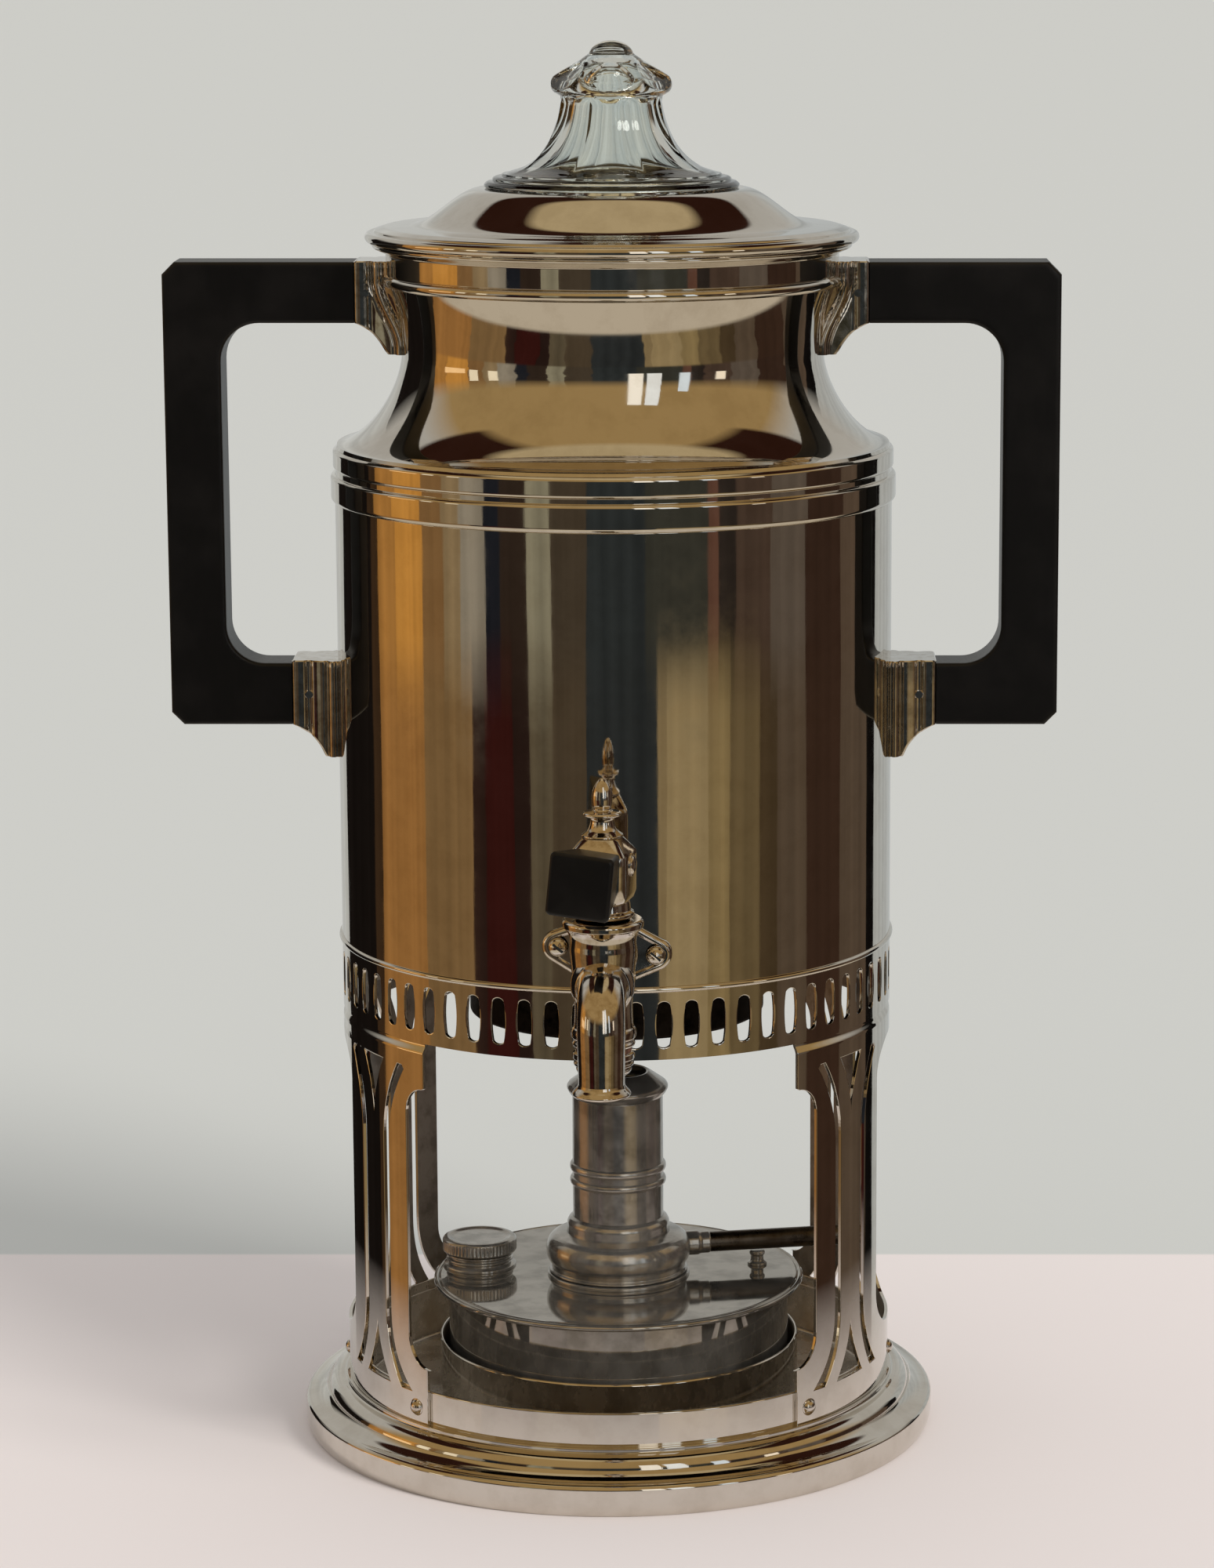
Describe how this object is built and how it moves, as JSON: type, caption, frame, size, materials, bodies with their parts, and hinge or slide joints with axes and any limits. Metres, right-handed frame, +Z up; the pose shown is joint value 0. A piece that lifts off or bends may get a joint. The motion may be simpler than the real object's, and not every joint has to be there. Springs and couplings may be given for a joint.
{
  "type": "coffee urn",
  "caption": "Countertop coffee urn on a pierced stand, with a lid and glass knob, side handles, a front tap and a spirit burner.",
  "frame": {"origin": "on the table plane, on the urn's upright axis, at the centre of the foot ring", "axes": "+Z up, -Y toward the tap and the front, +X to the right as seen from the front"},
  "size_m": [0.2316, 0.2091, 0.367],
  "materials": {
    "body_plate": "polished nickel plate, lightly worn",
    "black_wood": "ebonised, satin polish",
    "clear_glass": "pressed glass",
    "washer_fibre": "plain",
    "pump_metal": "spun, satin",
    "burner_metal": "dulled nickel plate",
    "wick_cotton": "woven cotton"
  },
  "bodies": {
    "urn": {"base_ring": "body_plate", "tray_floor": "body_plate", "burner_holder": "body_plate", "side_panel_left": "body_plate", "side_panel_right": "body_plate", "panel_rivets": "body_plate", "vent_band": "body_plate", "band_bead": "body_plate", "vessel_shell": "body_plate", "heating_well": "body_plate", "shoulder_rings": "body_plate", "neck_shell": "body_plate", "neck_rim": "body_plate", "socket_top_left": "body_plate", "socket_top_right": "body_plate", "socket_bottom_left": "body_plate", "socket_bottom_right": "body_plate", "handle_left": "black_wood", "handle_right": "black_wood", "handle_pins": "body_plate", "tap_flange": "body_plate", "tap_screws": "body_plate", "tap_body": "body_plate", "shank_washer": "washer_fibre", "shank_nut": "body_plate"},
    "lid": {"lid_shell": "body_plate", "lid_skirt": "body_plate", "glass_knob": "clear_glass", "glass_ring": "body_plate"},
    "tap_key": {"tap_plug": "body_plate", "plug_washer": "washer_fibre", "tail_nut": "body_plate", "lever_socket": "body_plate", "lever_block": "black_wood", "tap_finial": "body_plate"},
    "pump": {"pump_foot": "pump_metal", "pump_tube": "pump_metal", "coffee_basket": "pump_metal"},
    "valve": {"pump_valve": "pump_metal"},
    "cover": {"basket_cover": "pump_metal"},
    "burner": {"burner_drum": "burner_metal", "burner_plate": "burner_metal", "filler_neck": "burner_metal", "burner_sleeve": "burner_metal", "chimney": "burner_metal", "chimney_cap": "burner_metal", "wick_tube": "burner_metal", "wick": "wick_cotton", "rest_peg": "burner_metal"},
    "regulator": {"regulator_ring": "burner_metal", "lever_rod": "burner_metal"},
    "filler_seal": {"filler_gasket": "washer_fibre"},
    "filler_lid": {"filler_cap": "burner_metal"}
  },
  "joints": [
    {"name": "lid_lift", "type": "slide", "parent": "urn", "child": "lid", "axis": [0, 0, 1], "range_m": [0, 0.06]},
    {"name": "tap_turn", "type": "hinge", "parent": "urn", "child": "tap_key", "pos_m": [0, -0.1, 0.1447], "axis": [0, 0, 1], "range_deg": [-78, 102]},
    {"name": "pump_lift", "type": "slide", "parent": "urn", "child": "pump", "axis": [0, 0, 1], "range_m": [0, 0.025]},
    {"name": "valve_lift", "type": "slide", "parent": "pump", "child": "valve", "axis": [0, 0, 1], "range_m": [0, 0.002]},
    {"name": "cover_lift", "type": "slide", "parent": "pump", "child": "cover", "axis": [0, 0, 1], "range_m": [0, 0.02]},
    {"name": "burner_lift", "type": "slide", "parent": "urn", "child": "burner", "axis": [0, 0, 1], "range_m": [0, 0.017]},
    {"name": "regulator_turn", "type": "hinge", "parent": "burner", "child": "regulator", "pos_m": [0, 0, 0.0464], "axis": [0, 0, 1], "range_deg": [-25, 0]},
    {"name": "filler_cap_lift", "type": "slide", "parent": "burner", "child": "filler_seal", "axis": [0, 0, 1], "range_m": [0, 0.004]},
    {"name": "filler_cap_turn", "type": "hinge", "parent": "filler_seal", "child": "filler_lid", "pos_m": [-0.0378, 0.007, 0.0456], "axis": [0, 0, 1], "range_deg": [0, 720]}
  ],
  "couplings": [
    {"joint": "filler_cap_lift", "follows": "filler_cap_turn", "m_per_rad": 0.00031831}
  ]
}
